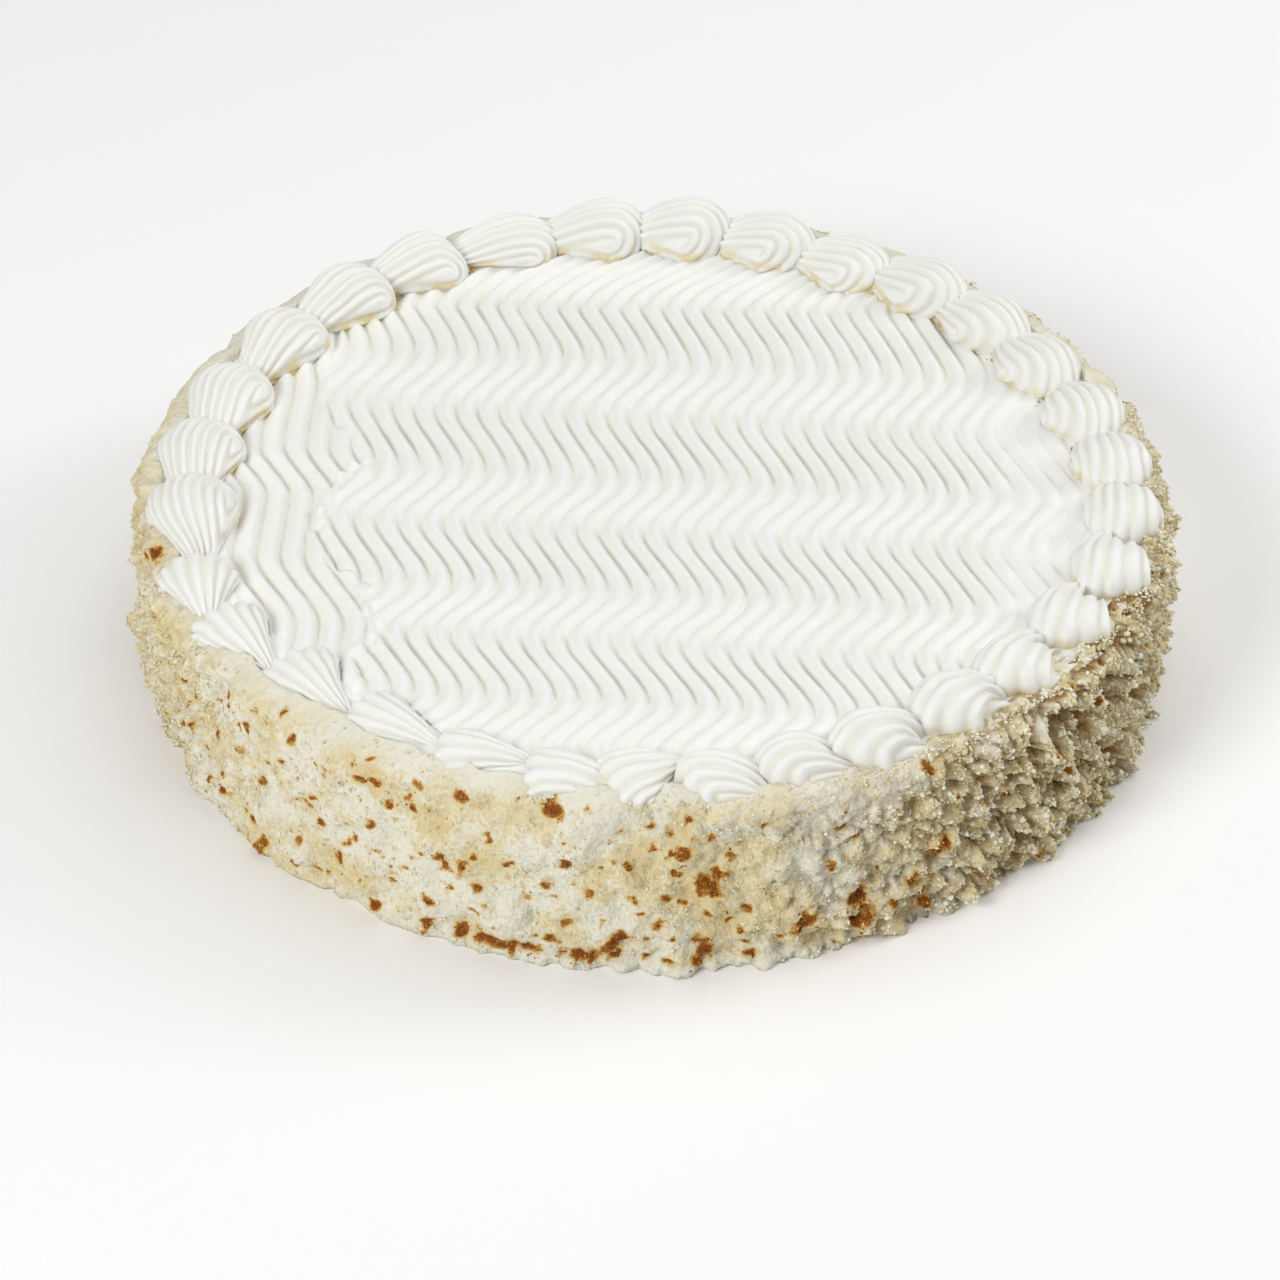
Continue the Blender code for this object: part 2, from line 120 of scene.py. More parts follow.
# The bits of crust: angle in degrees, then height and radius in millimetres.
CRUST = [
    (-165.6, 46.2, 2.1), (-161.3, 1.9, 1.0), (-156.0, 5.3, 1.5), (-155.2, 14.9, 0.8),
    (-151.2, 31.8, 1.4), (-151.0, 18.1, 0.8), (-146.7, 17.2, 1.1), (-145.6, 29.0, 0.8),
    (-144.3, 34.3, 0.7), (-144.2, 24.6, 1.1), (-142.9, 10.8, 1.5), (-142.3, 16.2, 1.2),
    (-141.5, 11.3, 0.6), (-140.9, 39.4, 1.8), (-139.0, 3.2, 0.8), (-138.9, 34.9, 0.7),
    (-138.5, 10.7, 0.8), (-137.0, 9.9, 1.4), (-136.5, 20.7, 1.2), (-136.2, 1.5, 1.6),
    (-135.7, 4.4, 1.4), (-135.4, 6.7, 0.7), (-134.4, 30.0, 0.8), (-132.2, 26.9, 0.4),
    (-131.9, 33.8, 0.8), (-130.8, 4.8, 1.2), (-129.6, 16.2, 0.4), (-129.4, 25.9, 0.5),
    (-128.8, 27.9, 0.7), (-128.5, 24.7, 0.9), (-128.1, 4.6, 0.9), (-127.7, 13.6, 0.4),
    (-127.5, 27.7, 0.8), (-127.0, 20.6, 1.2), (-126.4, 6.5, 0.9), (-125.8, 38.4, 0.7),
    (-124.6, 13.3, 1.5), (-124.1, 2.0, 0.4), (-123.6, 10.3, 0.5), (-123.2, 18.8, 0.9),
    (-123.1, 25.1, 0.6), (-122.6, 20.6, 0.9), (-121.9, 44.7, 1.2), (-121.4, 39.8, 1.5),
    (-121.2, 10.5, 0.8), (-120.1, 3.5, 1.5), (-120.1, 27.9, 0.9), (-120.0, 40.4, 1.6),
    (-118.3, 34.8, 1.1), (-117.8, 17.6, 0.7), (-117.6, 13.2, 1.0), (-116.1, 18.7, 0.7),
    (-116.0, 37.8, 1.3), (-115.6, 36.0, 1.3), (-114.7, 44.2, 1.3), (-114.1, 1.5, 1.0),
    (-113.7, 4.1, 1.7), (-113.6, 37.0, 0.6), (-113.2, 11.7, 1.2), (-112.1, 24.6, 1.5),
    (-111.4, 22.7, 1.6), (-109.8, 4.1, 1.5), (-109.7, 44.0, 1.6), (-109.4, 24.4, 1.5),
    (-108.1, 12.4, 0.9), (-108.1, 6.2, 0.8), (-107.8, 3.1, 1.5), (-107.8, 19.2, 1.3),
    (-106.9, 34.0, 0.8), (-106.9, 15.2, 0.7), (-106.9, 32.1, 0.8), (-106.7, 3.3, 1.5),
    (-105.4, 3.7, 1.7), (-104.6, 27.5, 0.9), (-104.3, 3.6, 1.6), (-103.0, 18.5, 0.9),
    (-102.6, 3.2, 1.5), (-101.7, 8.3, 0.8), (-101.6, 3.2, 1.5), (-100.6, 46.1, 1.4),
    (-100.5, 23.0, 1.0), (-99.9, 44.6, 1.6), (-99.6, 19.5, 0.7), (-99.4, 6.9, 0.9),
    (-98.8, 3.0, 1.2), (-98.5, 13.0, 1.0), (-97.8, 23.7, 0.6), (-97.2, 3.3, 1.5),
    (-96.3, 46.8, 0.6), (-96.1, 21.7, 1.3), (-95.8, 3.1, 1.5), (-94.9, 28.7, 0.7),
    (-94.5, 5.6, 1.8), (-93.7, 7.4, 2.1), (-93.6, 31.8, 0.8), (-93.4, 3.5, 1.2), (-92.8, 9.6, 1.8),
    (-91.4, 21.3, 1.0), (-90.8, 16.8, 0.7), (-90.2, 3.9, 1.0), (-90.1, 8.6, 0.8),
    (-89.8, 36.4, 0.9), (-88.9, 13.6, 1.1), (-88.1, 21.8, 1.0), (-87.9, 34.4, 0.9),
    (-87.7, 3.7, 1.0), (-87.6, 9.9, 0.9), (-87.3, 28.3, 1.2), (-86.8, 34.6, 1.4),
    (-86.5, 20.3, 0.7), (-86.5, 30.3, 0.7), (-86.1, 34.8, 1.2), (-84.7, 3.4, 1.6),
    (-84.5, 22.4, 1.5), (-84.4, 8.8, 1.9), (-84.3, 25.6, 2.0), (-84.1, 5.8, 1.6),
    (-83.5, 23.4, 2.0), (-82.7, 27.0, 1.7), (-81.5, 13.2, 0.9), (-81.4, 31.6, 1.5),
    (-80.1, 10.8, 1.0), (-79.1, 3.0, 1.3), (-78.1, 41.0, 0.8), (-74.0, 9.2, 1.9),
    (-73.6, 12.2, 2.5), (-71.6, 7.4, 1.6), (-70.7, 26.3, 0.8), (-69.6, 35.4, 1.5),
    (-68.2, 7.9, 2.3), (-67.8, 13.4, 2.8), (-67.0, 40.0, 0.6), (-66.8, 9.5, 2.6),
    (-66.7, 1.7, 1.4), (-63.5, 10.3, 1.2), (-61.0, 14.0, 1.9), (-59.8, 47.0, 1.9),
    (-59.8, 32.0, 0.6), (-59.5, 6.3, 1.8), (-58.7, 20.3, 1.7), (-58.2, 23.0, 2.2),
    (-56.3, 34.5, 0.8), (-53.7, 36.4, 1.1), (-52.1, 28.4, 0.9), (-48.7, 27.2, 1.9),
    (-45.9, 21.4, 2.0), (-43.3, 27.2, 0.9), (-42.7, 10.3, 1.3), (-38.4, 47.5, 0.9),
    (-36.8, 6.8, 2.2), (-36.2, 4.0, 1.9), (-34.5, 25.7, 1.6), (-34.1, 7.6, 1.7),
    (-31.0, 13.5, 1.3), (-29.4, 13.4, 1.3), (-25.7, 10.0, 1.9), (-25.2, 32.1, 1.3),
    (-16.4, 26.2, 1.9), (-16.2, 14.6, 1.1), (171.1, 36.5, 1.4), (177.0, 8.9, 1.1),
    (179.1, 24.7, 2.8),
    (168.0, 33.0, 2.6), (172.0, 29.0, 2.2), (30.0, 31.0, 2.2), (64.0, 12.0, 2.4),
    (95.0, 22.0, 2.0), (121.0, 34.0, 2.3), (146.0, 9.0, 2.1),
]


# Where the cream shows white, and where the crumbs soaked it up: angle in degrees, then
# height and radius in millimetres.
CREAM_PATCHES = (
    (-155, 7, 5), (-143, 36, 6), (-139, 32, 6), (-134, 19, 6), (-129, 38, 8), (-123, 33, 5),
    (-119, 23, 8), (-111, 12, 8), (-105, 8, 6), (-100, 21, 9), (-95, 43, 7), (-95, 16, 7),
    (-90, 46, 6), (-83, 40, 6.5), (-73, 25, 6), (-73, 42, 8), (-68, 35, 6), (-62, 46, 5),
    (-52, 46, 5), (-44, 44, 5),
)
SOAKED_PATCHES = (
    (-154, 38, 7), (-130, 46, 6), (-121, 42, 8), (-114, 34, 6), (-105, 25, 6), (-101, 40, 5),
    (-96, 23, 4), (-91, 30, 5), (-87, 36, 7), (-83, 21, 9), (-79, 18, 8), (-59, 36, 8),
    (-41, 20, 8), (-34, 37, 8),
)


def polar(radius, angle, z):
    return Vector((radius * math.cos(angle), radius * math.sin(angle), z))


def step(value, low, high):
    """0 up to low and 1 from high on, with a smooth step between."""
    share = min(1.0, max(0.0, (value - low) / (high - low)))
    return share * share * (3 - 2 * share)


def bell(angle, centre, spread):
    """1 at the centre angle, fading to 0 round the ring."""
    away = (angle - centre + math.pi) % (2 * math.pi) - math.pi
    return math.exp(-((away / spread) ** 2))


def side_radius(angle, z):
    """The side's soft form: a slight taper, a tucked foot and low lumps."""
    place = polar(BODY_RADIUS, angle, z) / LUMP_SIZE
    lump = noise.noise(place) + SMALL_LUMP_SHARE * noise.noise(place * SMALL_LUMPS)
    foot = BASE_TUCK * max(0.0, 1.0 - z / TUCK_HEIGHT)
    return BODY_RADIUS - BODY_TAPER * z / BODY_HEIGHT - foot + LUMP_DEPTH * lump


def crumb_places(draw):
    """Centres and radii of the largest crumbs, largest first, clear of each other."""
    small, large = CRUMB_RADIUS
    places = []
    while len(places) < CRUMB_COUNT:
        size = large - (large - small) * len(places) / CRUMB_COUNT
        angle = draw.uniform(-math.pi, math.pi)
        z = draw.uniform(size + CRUMB_SPACING, BODY_HEIGHT - size - CRUMB_SPACING)
        radius = min(side_radius(angle, z) - CRUMB_SINK * size, CRUMB_LIMIT - size)
        by_the_icing = z + size > ICING_BOTTOM - CRUMB_SPACING
        if by_the_icing and radius - size < ICING_RADIUS + CRUMB_SPACING:
            continue
        centre = polar(radius, angle, z)
        if all((centre - c).length > size + s + CRUMB_SPACING for c, s in places):
            places.append((centre, size))
    return places


noise.seed_set(SEED)  # so that every crag comes out the same each time
big_crumbs = crumb_places(random.Random(SEED))


def clumpiness(angle):
    """How far the crumbs stand up: most at the front right, a little at the left."""
    left = LEFT_CLUMPS * bell(angle, LEFT_CENTRE, LEFT_SPREAD)
    return CLUMP_LEAST + left + (1 - CLUMP_LEAST) * bell(angle, CLUMP_CENTRE, CLUMP_SPREAD)


def in_a_patch(patches, angle, along):
    """1 in the middle of a listed patch, fading to 0 round it."""
    nearest = min(
        math.hypot(
            BODY_RADIUS * (angle - math.radians(centre)), along - MILLIMETRE * z
        ) / (MILLIMETRE * radius)
        for centre, z, radius in patches
    )
    return math.exp(-(nearest**2))


def large_crumb_rise(angle, radius, z):
    """How far a large crumb stands out of the side there."""
    outward = polar(1.0, angle, 0.0)
    proud = 0.0
    for centre, size in big_crumbs:
        if abs(centre.z - z) < size and (centre - outward * radius).length < 3 * size:
            ahead = centre.x * outward.x + centre.y * outward.y
            aside = centre.x * outward.y - centre.y * outward.x
            inside = size**2 - aside**2 - (centre.z - z) ** 2
            if inside > 0:
                proud = max(proud, ahead + 0.80 * math.sqrt(inside) - radius)
    return proud


def add_crags(proud, place, stand):
    """Adds clumps, crumbs and pits to proud, and tells how deep they leave the place.

    stand is the share of the crumbs there that stand up.
    """
    def depth(relief):
        return relief[1] + relief[2] * stand

    bent = place + CLUMP_BEND * noise.noise_vector(place / CLUMP_SIZE)
    bent += CRUMB_BEND * noise.noise_vector(place / CRUMB_BEND_SIZE)
    near, second = noise.voronoi(bent / CLUMP_SIZE)[0][:2]
    gap = math.exp(-(((second - near) / GAP_WIDTH) ** 2))
    close = noise.voronoi(bent / CRUMB_RELIEF[0])[0][0]
    proud += stand * (CLUMP_RISE * (0.42 - near) - CLUMP_GAP * gap * (0.4 + 0.6 * stand))
    proud += depth(CRUMB_RELIEF) * (0.45 - close)
    proud += depth(LUMP_RELIEF) * noise.noise(bent / LUMP_RELIEF[0])
    pits = max(0.0, noise.noise(place / PIT_RELIEF[0]) - PIT_LEVEL)
    proud -= depth(PIT_RELIEF) * pits
    proud += depth(GRIT_RELIEF) * noise.noise(place / GRIT_RELIEF[0])
    return proud, min(1.0, stand * gap + pits * (0.7 + 1.5 * stand))


def coat_point(angle, along):
    """Place on the coat, that far up the side and over the edge, and its looks there.

    The looks are how deep it lies between crumbs, the cream smeared over it and the share
    of the crumbs that stand up.
    """
    turn = math.pi / 2 * max(0.0, along - EDGE_START) / EDGE_PATH
    z = min(along, EDGE_START) + EDGE_RISE * math.sin(turn)
    radius = side_radius(angle, z)
    place = polar(radius, angle, along)
    stand = max(0.0, clumpiness(angle) - STANDING_FROM) / (1 - STANDING_FROM)
    proud, deep = add_crags(large_crumb_rise(angle, radius, z), place, stand)
    smear = bell(angle, SMEAR_CENTRE, SMEAR_SPREAD) * step(z, *SMEAR_TOP)
    proud += SMEAR_DEPTH * smear * (1 + 0.9 * noise.noise(place / SMEAR_SIZE))
    proud = max(proud, proud * (1 - 0.6 * step(z, FIRM_FROM, FIRM_TO)))
    radius += proud * math.cos(turn) - EDGE_INSET * (1 - math.cos(turn))
    if ICING_BOTTOM - 2 * GAP < z < LEDGE_HEIGHT - ICING_SLOPE + GAP:
        radius = max(radius, ICING_EDGE + 2 * GAP)
    white = 0.9 * (1 - stand) * math.sin(turn) ** 2
    lift = 0.6 * max(proud, -EDGE_DIP) * math.sin(turn) + EDGE_CREAM * white
    return polar(radius, angle, z + lift), (deep, max(smear, white), stand)


class Reading:
    """A number read off a surface. Working with it adds the Math nodes."""

    def __init__(self, finish, socket):
        self.finish = finish
        self.socket = socket

    def work(self, operation, first, second):
        return self.finish.node(
            "ShaderNodeMath", {"operation": operation}, {0: first, 1: second}
        )

    def __add__(self, other):
        return self.work("ADD", self, other)

    def __radd__(self, other):
        return self.work("ADD", other, self)

    def __sub__(self, other):
        return self.work("SUBTRACT", self, other)

    def __rsub__(self, other):
        return self.work("SUBTRACT", other, self)

    def __mul__(self, other):
        return self.work("MULTIPLY", self, other)

    def __rmul__(self, other):
        return self.work("MULTIPLY", other, self)


class Finish:
    """A material with one Principled shader. One call adds any other node."""

    def __init__(self, name, **fixed):
        self.material = bpy.data.materials.new(name)
        self.material.use_nodes = True
        self.tree = self.material.node_tree
        self.shader = self.tree.nodes["Principled BSDF"]
        for socket, value in fixed.items():
            self.shader.inputs[socket.replace("_", " ")].default_value = value
        self.place = self.node("ShaderNodeTexCoord", output="Object")

    def node(self, kind, settings=None, sockets=None, output=0):
        made = self.tree.nodes.new(kind)
        for name, value in (settings or {}).items():
            setattr(made, name, value)
        for name, value in (sockets or {}).items():
            self.feed(made.inputs[name], value)
        return Reading(self, made.outputs[output])

    def feed(self, socket, value):
        if isinstance(value, Reading):
            self.tree.links.new(value.socket, socket)
        else:
            socket.default_value = value

    def measure(self, name):
        """A number that the mesh carries at its points."""
        return self.node("ShaderNodeAttribute", {"attribute_name": name}, output="Fac")

    def height(self):
        return self.node("ShaderNodeSeparateXYZ", {}, {0: self.place}, output="Z")

    def cloud(self, size, detail=2.0):
        """Soft noise with features about that size across, in metres."""
        return self.node(
            "ShaderNodeTexNoise", {},
            {"Vector": self.place, "Scale": 1 / size, "Detail": detail},
        )

    def between(self, value, low, high):
        """0 up to low and 1 from high on, with a smooth step between."""
        return self.node(
            "ShaderNodeMapRange", {"interpolation_type": "SMOOTHSTEP"},
            {"Value": value, "From Min": low, "From Max": high},
        )

    def grains(self, size):
        """0 in the middle of each grain of that size and about 0.7 between them."""
        swirl = self.node(
            "ShaderNodeTexNoise", {}, {"Vector": self.place, "Scale": 1 / size},
            output="Color",
        )
        bent = self.node(
            "ShaderNodeVectorMath", {"operation": "MULTIPLY_ADD"},
            {0: swirl, 1: (size, size, size), 2: self.place},
        )
        return self.node(
            "ShaderNodeTexVoronoi", {}, {"Vector": bent, "Scale": 1 / size},
            output="Distance",
        )

    def tint(self, color, other, share):
        """The first colour, turning into the other as share goes from 0 to 1."""
        return self.node(
            "ShaderNodeMix", {"data_type": "RGBA"},
            {0: share, 6: color, 7: other}, output=2,
        )

    def coat(self, color, roughness, height, depth):
        """Lays a colour, a roughness and a relief that is depth metres high."""
        bump = self.node("ShaderNodeBump", {}, {"Height": height, "Distance": depth})
        self.feed(self.shader.inputs["Base Color"], color)
        self.feed(self.shader.inputs["Roughness"], roughness)
        self.feed(self.shader.inputs["Normal"], bump)
        return self.material


def new_piece(name, bm, material, slot, *nodes, smooth=True):
    """Turns a bmesh into a piece that rides on the cake."""
    bmesh.ops.recalc_face_normals(bm, faces=bm.faces)
    for face in bm.faces:
        face.smooth = smooth
    mesh = bpy.data.meshes.new(name)
    bm.to_mesh(mesh)
    bm.free()
    mesh.materials.append(material)
    piece = bpy.data.objects.new(name, mesh)
    bpy.context.scene.collection.objects.link(piece)
    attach(piece, "root")
    if nodes:
        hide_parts(*nodes)
    return piece


# The cream and crumb colours of the coat are set a little darker than their own colour: partly
# their own colour, partly painted shade for the side, which the dark tray under the cake kept from
# the light bouncing up off a pale table.
WHITE_CREAM = (0.845, 0.825, 0.70, 1)
PALE_CRUMB = (0.81, 0.73, 0.485, 1)
# The soaked crumbs' own colour, also used as painted shade between the fine grains.
SOAKED_CRUMB_AND_GAP_SHADE = (0.74, 0.60, 0.315, 1)
# Painted shade for the hollows between the clumps.
HOLLOW_SHADE_PAINT = (0.28, 0.145, 0.035, 1)
GOLDEN = (0.60, 0.31, 0.05, 1)
TOASTED = (0.25, 0.066, 0.010, 1)

# Small toasted specks, drawn at random between the listed bits of crust.
SPECK_COUNT = 640
draw = random.Random(SEED + 2)
specks = [
    (math.radians(angle), MILLIMETRE * z, MILLIMETRE * size, draw.uniform(0.62, 1.0))
    for angle, z, size in CRUST
]
while len(specks) < SPECK_COUNT:
    angle, z = draw.uniform(-math.pi, math.pi), draw.uniform(0.001, 0.047)
    size = 0.0003 + 0.0011 * draw.random() ** 3
    specks.append((angle, z, size, draw.uniform(0.45, 1.0)))
stains = kdtree.KDTree(len(specks))
for number, (angle, z, size, baked) in enumerate(specks):
    stains.insert(coat_point(angle, z)[0], number)
stains.balance()


def staining(place):
    """How golden the coat is there: most at a speck, fading raggedly round it."""
    ragged = place + 0.0015 * noise.noise_vector(place / 0.0022)
    return max(
        baked * min(1.15, 0.55 + size / 0.0030)
        * math.exp(-((away / (0.95 * size + 0.0005)) ** 2))
        for _, number, away in stains.find_n(ragged, 5)
        for size, baked in [specks[number][2:]]
    )


finish = Finish(
    "crumb_coat", Subsurface_Weight=0.25, Subsurface_Scale=0.0025,
    Subsurface_Radius=(1.0, 0.8, 0.5), Specular_IOR_Level=0.2,
)
crumbly = finish.measure("crumbly")
fine = finish.cloud(0.0005, 3.0)
grain = finish.cloud(0.0013, 3.0)
grains = finish.grains(0.0011)
creamy = finish.measure("creamy")
patch = finish.cloud(0.012, 3.0) * 0.6 + grain * 0.4 + creamy * 0.13 - crumbly * 0.06
masked = finish.between(patch, 0.45, 0.53)
color = finish.tint(PALE_CRUMB, WHITE_CREAM, masked)
soaked = finish.between(finish.cloud(0.009, 4.0) - creamy * 0.13, 0.51, 0.66)
color = finish.tint(color, SOAKED_CRUMB_AND_GAP_SHADE, soaked * (0.75 - masked * 0.35))
# Painted shade: between the fine grains the coat is tinted toward the soaked colour, darkest where
# the grains meet.
between = finish.between(grains + fine * 0.4, 0.62, 0.95)
color = finish.tint(color, SOAKED_CRUMB_AND_GAP_SHADE, between * (0.75 - masked * 0.5))
# Painted shade: the coat turns dark brown where it lies deep between clumps and in pits, most
# where the crumbs stand up.
color = finish.tint(color, HOLLOW_SHADE_PAINT, finish.measure("deep") * (crumbly * 0.75 + 0.25))
color = finish.tint(color, WHITE_CREAM, finish.measure("smear"))
stain = finish.measure("stain")
soft = stain * (grain * 1.5 + 0.25)
color = finish.tint(color, SOAKED_CRUMB_AND_GAP_SHADE, finish.between(soft, 0.08, 0.30) * 0.75)
color = finish.tint(color, GOLDEN, finish.between(soft, 0.28, 0.44) * 0.95)
burnt = stain * (fine * 1.6 + grain * 0.6 - 0.1)
color = finish.tint(color, TOASTED, finish.between(burnt, 0.40, 0.60) * 0.95)
relief = fine * 0.25 + grain * 0.35 - grains * 0.4
coat_finish = finish.coat(color, masked * -0.25 + 0.93, relief, 0.0008)

bm = bmesh.new()
bmesh.ops.create_grid(bm, x_segments=COAT_COLUMNS, y_segments=COAT_ROWS, size=1.0)
stain = bm.verts.layers.float.new("stain")
deep = bm.verts.layers.float.new("deep")
smear = bm.verts.layers.float.new("smear")
crumbly = bm.verts.layers.float.new("crumbly")
creamy = bm.verts.layers.float.new("creamy")
for vert in bm.verts:
    angle = math.pi * vert.co.x
    along = COAT_PATH * (vert.co.y + 1) / 2
    vert.co, (vert[deep], vert[smear], vert[crumbly]) = coat_point(angle, along)
    vert[stain] = staining(vert.co)
    vert[creamy] = in_a_patch(CREAM_PATCHES, angle, along)
    vert[creamy] -= in_a_patch(SOAKED_PATCHES, angle, along)
bmesh.ops.remove_doubles(bm, verts=bm.verts, dist=0.00001)
rim = [e for e in bm.edges if e.is_boundary and e.verts[0].co.z > BODY_HEIGHT / 2]
for level in (LEDGE_HEIGHT - RIM_DEPTH, ICING_BOTTOM - GAP):
    grown = bmesh.ops.extrude_edge_only(bm, edges=rim)["geom"]
    rim = [g for g in grown if isinstance(g, bmesh.types.BMEdge) and g.is_boundary]
    for vert in {v for e in rim for v in e.verts}:
        vert.co = polar(RIM_RADIUS, math.atan2(vert.co.y, vert.co.x), level)
bmesh.ops.holes_fill(bm, edges=[e for e in bm.edges if e.is_boundary])
new_piece("crumb_coat", bm, coat_finish, "crumb_coat", "cake_body")

# ---------------------------------------------------------------- loose crumbs
# Crumbs rubbed from the trimmings: pale ones from the middle of the sponge, golden and
# brown ones from its baked crust. They stick out of the coat singly and in small heaps.
LARGE_CRUMB = 0.00080
HEAP_SIZE = 0.0009


def crumb_shapes(draw, kinds, large):
    """Small crumbs with uneven corners, about one unit in radius."""
    shapes = []
    for _ in range(kinds):
        bm = bmesh.new()
        if large:
            bmesh.ops.create_icosphere(bm, subdivisions=1, radius=1.0)
        else:
            bmesh.ops.create_uvsphere(bm, u_segments=4, v_segments=2, radius=1.0)
        for vert in bm.verts:
            vert.co *= draw.uniform(0.5, 1.3)
        for face in bm.faces:
            face.smooth = True
        shape = bpy.data.meshes.new("crumb")
        bm.to_mesh(shape)
        bm.free()
        shapes.append(shape)
    return shapes


def heap_of_crumbs(name, seed, spots, material):
    """One mesh of many crumbs; spots gives the place and size of each."""
    draw = random.Random(seed)
    shapes = crumb_shapes(draw, 10, False), crumb_shapes(draw, 10, True)
    bm = bmesh.new()
    for place, size in spots(draw):
        place.z = max(place.z, 1.25 * size)
        squeeze = (size, size * draw.uniform(0.45, 1), size * draw.uniform(0.45, 1), 1)
        axis = Vector([draw.gauss(0, 1) for _ in range(3)])
        spin = Matrix.Rotation(draw.uniform(0, 2 * math.pi), 4, axis)
        move = Matrix.Translation(place) @ spin @ Matrix.Diagonal(squeeze)
        shape = draw.choice(shapes[size > LARGE_CRUMB])
        shape.transform(move)
        bm.from_mesh(shape)
        shape.transform(move.inverted())
    for shape in shapes[0] + shapes[1]:
        bpy.data.meshes.remove(shape)
    return new_piece(name, bm, material, "crumb_coat")


def crumb_finish(name, color, other, size):
    finish = Finish(
        name, Subsurface_Weight=0.15, Subsurface_Scale=0.0012,
        Subsurface_Radius=(1.0, 0.85, 0.6), Specular_IOR_Level=0.15,
    )
    mixed = finish.tint(color, other, finish.between(finish.cloud(size), 0.4, 0.6))
    return finish.coat(mixed, finish.cloud(0.003) * 0.1 + 0.85, finish.cloud(0.0004), 0.0002)


LIGHT_CRUMB = (0.93, 0.90, 0.73, 1)
BARE_CENTRE = math.radians(170)  # hardly any crumbs near the top, from front left to back
BARE_SPREAD = math.radians(100)


def on_the_side(count, small, large, likely):
    """Heaps of a few crumbs all over the side, fewer in the hollows, none on the crust."""
    def spots(draw):
        made = 0
        while made < count:
            angle = draw.uniform(-math.pi, math.pi)
            z = draw.uniform(0.0, COAT_PATH)
            rough = clumpiness(angle)
            sparse = step(z, 0.036, 0.045) * bell(angle, BARE_CENTRE, BARE_SPREAD)
            if draw.random() > likely(angle, z) * rough**1.5 * (1 - sparse):
                continue
            for _ in range(draw.randint(1, 2 + round(5 * rough))):
                size = (small + (large - small) * draw.random() ** 3) * (0.5 + 0.5 * rough)
                turn = angle + draw.gauss(0, HEAP_SIZE) / BODY_RADIUS
                up = min(max(0.0, z + draw.gauss(0, HEAP_SIZE)), COAT_PATH)
                place, (deep, _, _) = coat_point(turn, up)
                place += polar(size * draw.uniform(-0.7, 0.4 + 0.6 * rough), turn, 0.0)
                bare = staining(place) > 0.35 or draw.random() < 1.2 * deep
                if math.hypot(place.x, place.y) < CRUMB_LIMIT - size and not bare:
                    made += 1
                    yield place, size
    return spots


def at_the_specks(draw):
    """Brown crumbs packed together where the coat is stained."""
    for angle, z, size, _ in specks:
        for _ in range(1 + round((size / 0.00036) ** 1.8)):
            turn = angle + draw.gauss(0, 0.52 * size) / BODY_RADIUS
            up = min(max(0.0, z + draw.gauss(0, 0.45 * size)), COAT_PATH)
            crumb = draw.uniform(0.00016, 0.00026 + 0.16 * size)
            place = coat_point(turn, up)[0]
            yield place + polar(crumb * draw.uniform(-0.5, 0.3), turn, 0.0), crumb


def everywhere(angle, z):
    return 1.0 + 1.5 * step(z, 0.0040, 0.0010)


def in_patches(angle, z):
    return max(0.05, 0.5 + 1.2 * noise.noise(polar(BODY_RADIUS, angle, z) / 0.012))


pale = crumb_finish("pale_crumb", LIGHT_CRUMB, PALE_CRUMB, 0.004)
beige = crumb_finish("beige_crumb", LIGHT_CRUMB, SOAKED_CRUMB_AND_GAP_SHADE, 0.003)
golden = crumb_finish("golden_crumb", GOLDEN, SOAKED_CRUMB_AND_GAP_SHADE, 0.002)
brown = crumb_finish("brown_crumb", TOASTED, GOLDEN, 0.0025)
heap_of_crumbs("crumbs_pale", 1, on_the_side(22000, 0.00020, 0.0010, everywhere), pale)
heap_of_crumbs("crumbs_beige", 2, on_the_side(20000, 0.00020, 0.0010, in_patches), beige)
heap_of_crumbs("crumbs_golden", 3, on_the_side(3000, 0.00016, 0.0006, in_patches), golden)
heap_of_crumbs("crumbs_brown", 4, at_the_specks, brown)

# ---------------------------------------------------------------- the combed icing
# Whipped cream spread flat over the top. A comb was drawn from the back to the front with
# a slow swing from side to side, in one wide pass and a narrow one along the left edge,
# with torn lips between the two. At the right the cream was smoothed over again.
FIELD_RADIUS = 0.1100
COMB_PITCH = 0.0054
COMB_CREST = 0.0462
COMB_DEPTH = 0.0019
WAVE_LENGTH = 0.0483
WAVE_STRETCH = 21.44
WAVE_SWING = 0.0046
WAVE_SKEW = 0.39
WAVE_SLANT = 0.06
WAVE_FIRST_BEND = 0.0030
COMB_DRIFT = 0.0060
COMB_RADIUS = 0.1040
GROOVE_START = 0.78  # of the pitch
GROOVE_SLOPE = 0.55
GROOVE_WIDTH = 1.75
SMOOTHED_FROM, SMOOTHED_TO = 0.072, 0.094  # on the right, where it was smoothed over
FIELD_END = (0.1065, 0.1095)  # the grooves run out here, under the border
# Unevenness of the icing: how wide it is and how deep.
COMB_WANDER = (0.022, 0.0006)
SEAM_WANDER = (0.006, 0.0014)
SMOOTHED_WAVES = (0.008, 0.0008)
LOW_WAVES = (0.030, 0.0006)
CURDS = (0.0025, 0.00012)
TOOTH_MARK_WIDTH = 0.0009
TOOTH_MARK_LENGTH = 0.007
TOOTH_MARK_DEPTH = 0.00022
TORN_SIZE = 0.0035
TORN_FROM, TORN_TO = 0.030, 0.005  # the lips are torn in front of this
LIP_WIDTH, LIP_RISE = 0.0011, 0.0012
RIP_WIDTH, RIP_DEPTH, RIP_PLACE = 0.0008, 0.0016, 0.0019
FIELD_COLUMNS = 388
FIELD_ROWS = 240
FIELD_SHARE = 0.998  # the outermost columns stay a little inside the edge
LINE_STEPS = 4
REAR_START = 0.078  # behind this the comb was pulled in from the right
REAR_PULL = 0.72
REAR_EASE = 0.004
LEFT_PITCH = 0.0057
LEFT_DEPTH = 0.94
